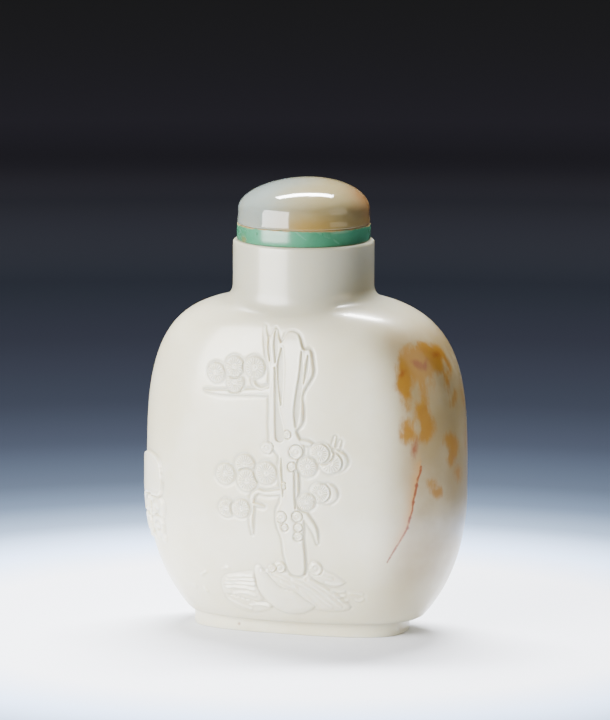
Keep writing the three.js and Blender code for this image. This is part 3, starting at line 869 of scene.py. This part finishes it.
def make_turned(profile, around):
    """A turned solid: a circle drawn out ring by ring along (radius, height), closed at both ends."""
    bpy.ops.object.select_all(action="DESELECT")
    radius, z = profile[0]
    bpy.ops.mesh.primitive_circle_add(
        vertices=around, radius=radius * MM, fill_type="NGON", location=(NECK_X * MM, 0.0, z * MM)
    )
    piece = bpy.context.object
    edit(piece)
    bpy.ops.mesh.select_all(action="SELECT")
    for (last, last_z), (radius, z) in zip(profile, profile[1:]):
        bpy.ops.mesh.extrude_region_move(TRANSFORM_OT_translate={"value": (0.0, 0.0, (z - last_z) * MM)})
        bpy.ops.transform.resize(value=(radius / last, radius / last, 1.0))
    bpy.ops.mesh.select_all(action="SELECT")
    bpy.ops.mesh.normals_make_consistent(inside=False)
    bpy.ops.object.mode_set(mode="OBJECT")
    select_only(piece)
    bpy.ops.object.transform_apply(location=True, rotation=True, scale=True)
    close_ends(piece)
    return piece


def build_bottle(sizes, colours):
    piece = make_bottle_mesh(sizes)
    close_ends(piece)
    subdivide_where(piece, lambda p: near_front_forms(p, 0.4) | near_rocks(p) | in_side_zone(p) | in_skin_zone(p))
    subdivide_where(piece, lambda p: near_front_forms(p, 0.0) | near_rocks(p) | in_side_zone(p) | near_crack(p))
    subdivide_where(piece, near_edges)
    settle_on_body(piece, sizes.shoulder_lean)
    colour_skin(piece)
    carve(piece, sizes)
    finish_piece(piece, "jade_bottle", "bottle", jade_material(colours))


def build_collar(sizes, colours):
    low, high = COLLAR_LOW.z, COLLAR_HIGH.z
    radius = (COLLAR_HIGH.x - COLLAR_LOW.x) / 2
    edge = sizes.collar_edge / MM
    profile = [(radius - edge, low)]
    for turn in np.linspace(0.25, 1.0, 4) * math.pi / 2:
        profile.append((radius - edge * (1 - math.sin(turn)), low + edge * (1 - math.cos(turn))))
    profile += [(radius, low + 0.9), (radius, high - 0.7), (radius, high - 0.14), (radius - 0.04, high - 0.05)]
    profile += [(radius - 0.12, high)]
    piece = make_turned(profile, 128)
    finish_piece(piece, "green_collar", "stopper_collar", collar_material(colours))


def build_cap(sizes, colours):
    low, high = CAP_LOW.z, CAP_HIGH.z
    base, radius = sizes.base_radius / MM, sizes.cap_radius / MM
    dome_z, dome = low + sizes.side_height / MM, sizes.dome_height / MM
    profile = [(base - 0.25, low), (base - 0.07, low + 0.07), (base, low + 0.25), (base - 0.03, low + 0.6)]
    profile += [(radius, low + 1.1), (radius, low + 1.7)]
    power = 2 / sizes.dome_power
    for turn in np.linspace(0.0, 1.0, 25)[:-1] * math.pi / 2:
        profile.append((radius * math.cos(turn) ** power, dome_z + dome * math.sin(turn) ** power))
    profile.append((0.3, high - 0.001))
    piece = make_turned(profile, 128)
    points = read_points(piece) / MM
    points[:, 0] += sizes.lean / MM * np.clip((points[:, 2] - dome_z) / dome, 0.0, 1.0) ** 2
    place(piece, points)
    finish_piece(piece, "agate_cap", "stopper_cap", agate_material(colours))


# ---- material helpers


def solid(rgb):
    return (*rgb, 1.0)


class Nodes:
    """Short ways to add nodes to one tree. A socket or a plain value can stand for any input."""

    def __init__(self, tree):
        self.tree = tree

    def plug(self, source, target):
        if isinstance(source, bpy.types.NodeSocket):
            self.tree.links.new(source, target)
        else:
            target.default_value = source

    def add(self, kind, inputs=(), **settings):
        """A node with its settings, and its sockets joined or set by number or name."""
        made = self.tree.nodes.new("ShaderNode" + kind)
        for name, value in settings.items():
            setattr(made, name, value)
        for name, value in dict(inputs).items():
            self.plug(value, made.inputs[name])
        return made

    def maths(self, operation, first, second=0.0, clamp=False):
        return self.add("Math", {0: first, 1: second}, operation=operation, use_clamp=clamp).outputs[0]

    def times(self, first, second):
        return self.maths("MULTIPLY", first, second)

    def weighted(self, start, *parts):
        """A start value plus each (value, weight)."""
        for value, weight in parts:
            start = self.add("Math", {0: value, 1: weight, 2: start}, operation="MULTIPLY_ADD").outputs[0]
        return start

    def ranged(self, value, low, high, out_low=0.0, out_high=1.0):
        inputs = {0: value, 1: low, 2: high, 3: out_low, 4: out_high}
        return self.add("MapRange", inputs, interpolation_type="SMOOTHSTEP").outputs[0]

    def tint(self, base, part, rgb, strength=1.0):
        """A base colour with another laid over it by a mask."""
        if strength != 1.0:
            part = self.times(part, strength)
        return self.add("Mix", {0: part, 6: base, 7: solid(rgb)}, data_type="RGBA").outputs[2]

    def noise(self, vector, scale, detail=3.0, roughness=0.5, distortion=0.0):
        inputs = {"Vector": vector, "Scale": scale, "Detail": detail}
        inputs |= {"Roughness": roughness, "Distortion": distortion}
        return self.add("TexNoise", inputs).outputs[0]

    def mask(self, name):
        return self.add("Attribute", attribute_name=name).outputs["Fac"]

    def point(self):
        return self.add("TexCoord").outputs["Object"]

    def axes(self, vector):
        return self.add("SeparateXYZ", {0: vector}).outputs

    def distance(self, vector, centre_mm):
        centre = Vector(centre_mm) * MM
        return self.add("VectorMath", {0: vector, 1: centre}, operation="DISTANCE").outputs["Value"]

    def placed(self, vector, location=(0.0, 0.0, 0.0), turn=0.0, scale=(1.0, 1.0, 1.0)):
        inputs = {"Vector": vector, "Location": location, "Rotation": (0.0, 0.0, turn), "Scale": scale}
        return self.add("Mapping", inputs).outputs[0]

    def effect(self, name, vector, **numbers):
        """The mask of one of the shared node groups."""
        return self.add("Group", {"Vector": vector, **numbers}, node_tree=effect_group(name)).outputs["Mask"]

    def bump(self, height, strength):
        return self.add("Bump", {"Height": height, "Strength": strength, "Distance": BUMP_DEPTH * MM}).outputs[0]


def set_shader(shader, values):
    """Joins or sets the shader's own sockets."""
    nodes = Nodes(shader.id_data)
    for name, value in values.items():
        nodes.plug(value, shader.inputs[name])


def start_material(name):
    material = bpy.data.materials.new(name)
    material.use_nodes = True
    return material, Nodes(material.node_tree), material.node_tree.nodes["Principled BSDF"]


def soft_clouds(nodes, vector, scale, low, high):
    """Broad soft patches, as in translucent stone."""
    return nodes.ranged(nodes.noise(vector, scale, 4.0, 0.55, 0.4), low, high)


def fine_pits(nodes, vector, scale, size, chosen_share):
    """Small round specks, only in some of the cells."""
    cells = nodes.add("TexVoronoi", {"Vector": vector, "Scale": scale}).outputs
    near = nodes.maths("SUBTRACT", size, cells["Distance"])
    number = nodes.add("SeparateColor", {0: cells["Color"]}).outputs[0]
    chosen = nodes.maths("LESS_THAN", number, chosen_share)
    return nodes.times(nodes.maths("MULTIPLY", near, 12.0, clamp=True), chosen)


def wheel_marks(nodes, vector, scale, thinness):
    """Fine curved lines left by the polishing wheel."""
    inputs = {"Vector": vector, "Scale": scale, "Distortion": 5.0, "Detail": 2.0, "Detail Scale": 0.5}
    wave = nodes.add("TexWave", inputs, wave_type="RINGS", rings_direction="SPHERICAL").outputs["Fac"]
    line = nodes.add("MapRange", {0: wave, 1: thinness, 2: 1.0}).outputs[0]
    return nodes.times(line, nodes.ranged(nodes.noise(vector, 420.0, 2.0), 0.5, 0.62))


# The node groups that more than one stone uses: the numbers each takes, and what fills it.
EFFECTS = {
    "SoftClouds": (("Scale", "Low", "High"), soft_clouds),
    "FinePits": (("Scale", "Size", "Share"), fine_pits),
    "WheelMarks": (("Scale", "Thinness"), wheel_marks),
}


def effect_group(name):
    """The shader node group of that name, made once: a Vector, its numbers and one Mask."""
    if name in bpy.data.node_groups:
        return bpy.data.node_groups[name]
    group = bpy.data.node_groups.new(name, "ShaderNodeTree")
    numbers, fill = EFFECTS[name]
    group.interface.new_socket(name="Vector", in_out="INPUT", socket_type="NodeSocketVector")
    for label in numbers:
        group.interface.new_socket(name=label, in_out="INPUT", socket_type="NodeSocketFloat")
    group.interface.new_socket(name="Mask", in_out="OUTPUT", socket_type="NodeSocketFloat")
    given = group.nodes.new("NodeGroupInput").outputs
    mask = fill(Nodes(group), given["Vector"], *(given[label] for label in numbers))
    group.links.new(mask, group.nodes.new("NodeGroupOutput").inputs["Mask"])
    return group


# ---- materials

# Small tones that go with the stones' own colours; the raised tone is a painted highlight and the neck tone is
# painted shade.
RAISED_PAINTED_HIGHLIGHT = (0.74, 0.73, 0.66)
NECK_PAINTED_SHADE = (0.35, 0.34, 0.26)
JADE_SPECK = (0.42, 0.33, 0.2)
CRACK_STAIN = (0.42, 0.20, 0.04)
FOOT_STAIN = (0.22, 0.1, 0.03)
FOOT_STAIN_AT = (-7.9, -7.8, 1.1)
WHEEL_GREEN = (0.09, 0.22, 0.14)
PIT_GREEN = (0.015, 0.06, 0.02)
COLLAR_STAIN = (0.13, 0.12, 0.035)
COLLAR_STAIN_AT = (-7.5, -7.2, 60.4)
WHEEL_CENTRE = (6.0, 0.0, -52.0)
CEMENT = (0.26, 0.17, 0.06)
AMBER = (0.22, 0.135, 0.025)
AGATE_CLOUD = (0.24, 0.22, 0.14)
AGATE_SPECK = (0.1, 0.05, 0.015)
AGATE_TURN = math.radians(-18.0)
BUMP_DEPTH = 0.05


def jade_material(colours):
    """Pale polished nephrite, warmer on the right side and painted darker there with shade, with a russet skin and
    one stained crack; a painted highlight on the raised carving and painted shade in its hollows and up the neck.
    """
    material, nodes, shader = start_material("jade")
    point = nodes.point()
    clouds = nodes.effect("SoftClouds", point, Scale=75.0, Low=0.4, High=0.68)
    small_clouds = nodes.effect("SoftClouds", point, Scale=420.0, Low=0.42, High=0.72)
    stone = nodes.tint(solid(colours.jade), clouds, colours.jade_cloud)
    stone = nodes.tint(stone, small_clouds, colours.jade_cloud, 0.3)
    # Painted highlight: the raised carving is painted lighter.
    stone = nodes.tint(stone, nodes.mask("raised"), RAISED_PAINTED_HIGHLIGHT, 0.3)
    # Painted shade: the neck is painted darker, standing in for the dark bore seen through its thin wall.
    stone = nodes.tint(stone, nodes.ranged(nodes.axes(point)[2], 0.045, 0.053, 0.0, 0.8), NECK_PAINTED_SHADE)
    # The cut mask darkens the carving's hollows with painted shade and makes the cut stone rougher.
    cut = nodes.mask("cut")
    stone = nodes.tint(stone, cut, colours.jade_cut_and_shade, 0.6)
    # Painted shade with the stone's own tan on the narrow right side.
    warm = nodes.times(nodes.mask("warm"), nodes.ranged(nodes.noise(point, 110.0, 4.0), 0.15, 0.6, 0.7, 1.0))
    stone = nodes.tint(stone, warm, colours.jade_tan_and_shade)

    # The skin's edges are drawn out into upright fibres.
    fibres = nodes.noise(nodes.placed(point, scale=(1.0, 1.0, 0.3)), 620.0, 5.0, 0.62, 0.3)
    grain = nodes.noise(nodes.placed(point, scale=(1.0, 1.0, 0.55)), 1500.0, 3.0, 0.6)
    rough_edge = nodes.weighted(-0.8, (fibres, 1.15), (grain, 0.45))
    skins = {}
    for name, low, high in (("ochre", 0.1, 0.6), ("rust", 0.3, 1.0)):
        field = nodes.maths("ADD", nodes.mask(name), rough_edge)
        skins[name] = nodes.times(nodes.ranged(field, low, high), nodes.ranged(nodes.mask(name), 0.02, 0.3))

    # The crack is a thin dark line that wanders, with a soft orange stain on its left.
    offset = nodes.weighted(-0.15, (nodes.mask("crack"), 1.0), (nodes.noise(point, 900.0, 4.0), 0.3))
    broken = nodes.ranged(nodes.noise(point, 1300.0, 2.0), 0.3, 0.5, 0.45, 1.0)
    line = nodes.times(nodes.ranged(offset, 0.08, 0.26, 1.0, 0.0), broken)
    stone = nodes.tint(stone, nodes.mask("stain"), CRACK_STAIN, 0.8)
    stone = nodes.tint(stone, skins["ochre"], colours.ochre, 0.98)
    stone = nodes.tint(stone, skins["rust"], colours.rust, 0.85)
    stone = nodes.tint(stone, line, colours.rust, 0.9)
    stone = nodes.tint(stone, nodes.effect("FinePits", point, Scale=340.0, Size=0.1, Share=0.16), JADE_SPECK, 0.3)
    spot = nodes.ranged(nodes.distance(point, FOOT_STAIN_AT), 0.00012, 0.00042, 0.85, 0.0)
    pits = nodes.effect("FinePits", point, Scale=900.0, Size=0.16, Share=0.1)
    height = nodes.weighted(0.0, (nodes.noise(point, 240.0), 0.6), (pits, -0.25), (line, -0.5))
    set_shader(shader, {
        "Base Color": nodes.tint(stone, spot, FOOT_STAIN),
        "Roughness": nodes.weighted(0.3, (clouds, 0.05), (cut, 0.2), (skins["ochre"], 0.06)),
        "Normal": nodes.bump(height, 0.3),
        "IOR": 1.62, "Coat Weight": 0.45, "Coat Roughness": 0.13,
        "Subsurface Weight": 0.65, "Subsurface Radius": (1.0, 0.8, 0.5), "Subsurface Scale": 0.0018,
    })
    return material


def collar_material(colours):
    """Opaque green stone, finely scratched, with a line of old cement along its top."""
    material, nodes, shader = start_material("green_glass")
    point = nodes.point()
    clouds = nodes.effect("SoftClouds", point, Scale=190.0, Low=0.42, High=0.75)
    base = nodes.tint(solid(colours.collar_green), clouds, colours.collar_deep)
    moved = nodes.placed(point, location=Vector(WHEEL_CENTRE) * MM)
    marks = nodes.effect("WheelMarks", moved, Scale=260.0, Thinness=0.93)
    base = nodes.tint(base, marks, WHEEL_GREEN, 0.25)
    pits = nodes.effect("FinePits", point, Scale=800.0, Size=0.22, Share=0.2)
    base = nodes.tint(base, pits, PIT_GREEN, 0.45)
    stain_in = nodes.weighted(nodes.distance(point, COLLAR_STAIN_AT), (nodes.noise(point, 900.0, 4.0), 0.0022))
    base = nodes.tint(base, nodes.ranged(stain_in, 0.0011, 0.0023, 0.75, 0.0), COLLAR_STAIN)
    ragged = nodes.weighted(nodes.axes(point)[2], (nodes.noise(point, 700.0, 4.0), 0.0007))
    line_z = (COLLAR_HIGH.z + 0.26) * MM
    cement = nodes.ranged(ragged, line_z - 0.00012, line_z + 0.00008)
    set_shader(shader, {
        "Base Color": nodes.tint(base, cement, CEMENT),
        "Roughness": nodes.weighted(0.2, (marks, 0.2), (cement, 0.4), (clouds, 0.08)),
        "Normal": nodes.bump(nodes.weighted(0.0, (cement, 0.8), (marks, -0.4), (pits, -0.8)), 0.4),
        "IOR": 1.55,
        "Subsurface Weight": 0.15, "Subsurface Radius": (0.4, 1.0, 0.6), "Subsurface Scale": 0.0006,
    })
    return material


def agate_material(colours):
    """Glossy banded agate: blue-grey on the left, honey in the middle, orange-brown on the right."""
    material, nodes, shader = start_material("agate")
    point = nodes.point()
    middle = (-NECK_X * MM, 0.0, -(CAP_LOW.z + 2.0) * MM)
    across = nodes.placed(point, location=middle, turn=AGATE_TURN)
    x, _, z = nodes.axes(across)
    along = nodes.weighted(-0.0035, (x, 1.0), (nodes.noise(point, 95.0), 0.007))
    honey = nodes.ranged(nodes.weighted(along, (z, -0.5)), -0.0075, 0.0015)
    brown = nodes.ranged(nodes.weighted(along, (z, 0.5)), 0.0062, 0.0125)
    amber_side = nodes.times(nodes.ranged(along, -0.006, 0.0), nodes.ranged(along, 0.003, 0.009, 1.0, 0.35))
    amber = nodes.times(nodes.ranged(z, -0.0019, 0.0022, 1.0, 0.0), amber_side)
    clouds = nodes.effect("SoftClouds", point, Scale=150.0, Low=0.45, High=0.8)
    specks = nodes.effect("FinePits", point, Scale=420.0, Size=0.12, Share=0.2)
    base = nodes.tint(solid(colours.agate_pale), honey, colours.agate_honey)
    base = nodes.tint(base, amber, AMBER, 0.8)
    base = nodes.tint(base, brown, colours.agate_brown)
    base = nodes.tint(base, clouds, AGATE_CLOUD, 0.3)
    marks = nodes.effect("WheelMarks", across, Scale=120.0, Thinness=0.96)
    set_shader(shader, {
        "Base Color": nodes.tint(base, specks, AGATE_SPECK, 0.3),
        "Roughness": nodes.weighted(0.06, (clouds, 0.03), (marks, 0.08)),
        "Normal": nodes.bump(nodes.times(nodes.noise(point, 200.0, 2.0), 0.5), 0.12),
        "IOR": 1.54,
        "Subsurface Weight": 0.35, "Subsurface Radius": (1.0, 0.8, 0.5), "Subsurface Scale": 0.0016,
    })
    return material


# Painted light on the floor: how much of its pale colour is left at each distance from the bottle, in millimetres, a
# pale pool round the bottle and painted shade further off.
FLOOR_PAINTED_LIGHT = [
    (0, (1.0, 1.0, 1.0)), (55, (1.0, 1.0, 1.0)), (72, (0.62, 0.77, 1.0)), (92, (0.186, 0.24, 0.306)),
    (112, (0.074, 0.098, 0.131)), (132, (0.042, 0.053, 0.07)), (174, (0.0237, 0.028, 0.0376)),
    (220, (0.0166, 0.0192, 0.0258)), (300, (0.0152, 0.0164, 0.022)), (381, (0.0167, 0.019, 0.024)),
    (514, (0.053, 0.053, 0.063)), (675, (0.22, 0.2, 0.229)), (1000, (0.27, 0.25, 0.22)),
]
FLOOR_REACH = 1000.0


def floor_material(floor_colour):
    """A graduated sweep with painted light: a pale pool round the bottle, painted shade beyond it, slate blue far
    from it.
    """
    material, nodes, shader = start_material("floor")
    out = nodes.add("VectorMath", {0: nodes.point()}, operation="LENGTH").outputs["Value"]
    ramp = nodes.add("ValToRGB", {0: nodes.maths("DIVIDE", out, FLOOR_REACH * MM, clamp=True)})
    stops = ramp.color_ramp.elements
    while len(stops) < len(FLOOR_PAINTED_LIGHT):
        stops.new(0.5)
    for stop, (distance, fade) in zip(stops, FLOOR_PAINTED_LIGHT):
        stop.position = distance / FLOOR_REACH
        stop.color = solid(tone * pale for tone, pale in zip(fade, floor_colour))
    set_shader(shader, {"Base Color": ramp.outputs[0], "Roughness": 0.9, "Specular IOR Level": 0.0})
    return material


# ---- the stage


AIM = Vector((NECK_X, 0.0, 41.295)) * MM
AIM_RIGHT = 0.27 * MM
CAMERA_ROLL = math.radians(0.272)
CAMERA_LENS = 326.56
CAMERA_AWAY = 1.0
KEY_AZIMUTH = math.radians(-33.0)
STRIP_ELEVATION = math.radians(69.0)
FILL_AZIMUTH, FILL_ELEVATION = math.radians(82.0), math.radians(24.0)
WORLD_COLOUR = (0.30, 0.33, 0.40)
WORLD_STRENGTH = 0.12


def direction(azimuth, elevation):
    """The way towards something seen from the bottle; azimuth 0 is the front and grows to the right."""
    level = math.cos(elevation)
    return Vector((math.sin(azimuth) * level, -math.cos(azimuth) * level, math.sin(elevation)))


def add_panel(name, aim_height, offset, size, power, tint, spread=180.0):
    """A rectangular light at an offset from a point over the bottle's middle, turned towards that point."""
    light = bpy.data.lights.new(name, "AREA")
    light.shape = "RECTANGLE"
    light.size, light.size_y = size
    light.energy = power
    light.color = tint
    light.spread = math.radians(spread)
    holder = bpy.data.objects.new(name, light)
    bpy.context.scene.collection.objects.link(holder)
    holder.location = Vector((0.0, 0.0, aim_height)) + offset
    holder.rotation_euler = (-offset).to_track_quat("-Z", "Y").to_euler()


def build_camera(studio):
    azimuth, elevation = studio.view_azimuth, studio.view_elevation
    back = direction(azimuth, elevation)
    right = Vector((math.cos(azimuth), math.sin(azimuth), 0.0))
    turn = Matrix((right, back.cross(right), back)).transposed() @ Matrix.Rotation(CAMERA_ROLL, 3, "Z")
    camera = bpy.data.objects.new("camera", bpy.data.cameras.new("camera"))
    bpy.context.scene.collection.objects.link(camera)
    camera.data.lens = CAMERA_LENS
    camera.data.clip_start = 0.01
    camera.matrix_world = Matrix.Translation(AIM + right * AIM_RIGHT + back * CAMERA_AWAY) @ turn.to_4x4()
    bpy.context.scene.camera = camera


def build_lights(studio):
    key = direction(KEY_AZIMUTH, 0.0) * 0.3
    add_panel("key_panel", 0.112, key, (0.28, 0.22), studio.key_power, (1.0, 0.985, 0.965))
    strip = direction(studio.view_azimuth + math.pi, STRIP_ELEVATION) * 0.5
    add_panel("overhead_strip", 0.035, strip, (0.38, 0.08), studio.strip_power, (1.0, 1.0, 1.0), 120.0)
    fill = direction(FILL_AZIMUTH, FILL_ELEVATION) * 0.5 - Vector((0.0, 0.0, 0.055))
    add_panel("side_fill", 0.055, fill, (0.3, 0.3), studio.fill_power, (1.0, 0.84, 0.58))
    world = bpy.data.worlds.new("studio")
    bpy.context.scene.world = world
    world.use_nodes = True
    background = world.node_tree.nodes["Background"].inputs
    background["Color"].default_value = solid(WORLD_COLOUR)
    background["Strength"].default_value = WORLD_STRENGTH


def build_stage(studio):
    build_camera(studio)
    build_lights(studio)
    bpy.ops.object.select_all(action="DESELECT")
    bpy.ops.mesh.primitive_plane_add(size=8.0)
    floor = bpy.context.object
    floor.name = "floor"
    floor.data.materials.append(floor_material(studio.floor_pale))


# ---- operators, panel and main


class SNUFF_OT_stage(bpy.types.Operator):
    """Add the floor, the lights and the camera"""

    bl_idname = "snuff.stage"
    bl_label = "Add Stage"

    def execute(self, context):
        build_stage(context.scene.snuff_studio)
        return {"FINISHED"}


class SNUFF_OT_bottle(bpy.types.Operator):
    """Model the jade bottle with its carving and its russet skin"""

    bl_idname = "snuff.bottle"
    bl_label = "Add Bottle"

    def execute(self, context):
        build_bottle(context.scene.snuff_bottle, context.scene.snuff_colours)
        return {"FINISHED"}


class SNUFF_OT_collar(bpy.types.Operator):
    """Model the green collar on the lip"""

    bl_idname = "snuff.collar"
    bl_label = "Add Collar"

    def execute(self, context):
        build_collar(context.scene.snuff_stopper, context.scene.snuff_colours)
        return {"FINISHED"}


class SNUFF_OT_cap(bpy.types.Operator):
    """Model the domed agate cap"""

    bl_idname = "snuff.cap"
    bl_label = "Add Cap"

    def execute(self, context):
        build_cap(context.scene.snuff_stopper, context.scene.snuff_colours)
        return {"FINISHED"}


class SNUFF_PT_panel(bpy.types.Panel):
    """Sizes, colours and pieces of the snuff bottle"""

    bl_idname = "SNUFF_PT_panel"
    bl_label = "Snuff Bottle"
    bl_space_type = "VIEW_3D"
    bl_region_type = "UI"
    bl_category = "Snuff bottle"

    def draw(self, context):
        for title, group in GROUPS.items():
            box = self.layout.box()
            box.label(text=group.__doc__)
            for name in group.__annotations__:
                box.prop(getattr(context.scene, title), name)
        for operator in PIECES:
            self.layout.operator(operator.bl_idname)


GROUPS = {
    "snuff_bottle": BottleSizes, "snuff_stopper": StopperSizes, "snuff_colours": StoneColours,
    "snuff_studio": StudioLook,
}
PIECES = (SNUFF_OT_stage, SNUFF_OT_bottle, SNUFF_OT_collar, SNUFF_OT_cap)


def register():
    for kind in (*GROUPS.values(), *PIECES, SNUFF_PT_panel):
        bpy.utils.register_class(kind)
    for title, group in GROUPS.items():
        setattr(bpy.types.Scene, title, bpy.props.PointerProperty(type=group))


def unregister():
    for title in GROUPS:
        delattr(bpy.types.Scene, title)
    for kind in (SNUFF_PT_panel, *reversed(PIECES), *reversed(GROUPS.values())):
        bpy.utils.unregister_class(kind)


def main():
    register()
    bpy.ops.snuff.stage()
    bpy.ops.snuff.bottle()
    bpy.ops.snuff.collar()
    bpy.ops.snuff.cap()


if __name__ == "__main__":
    main()
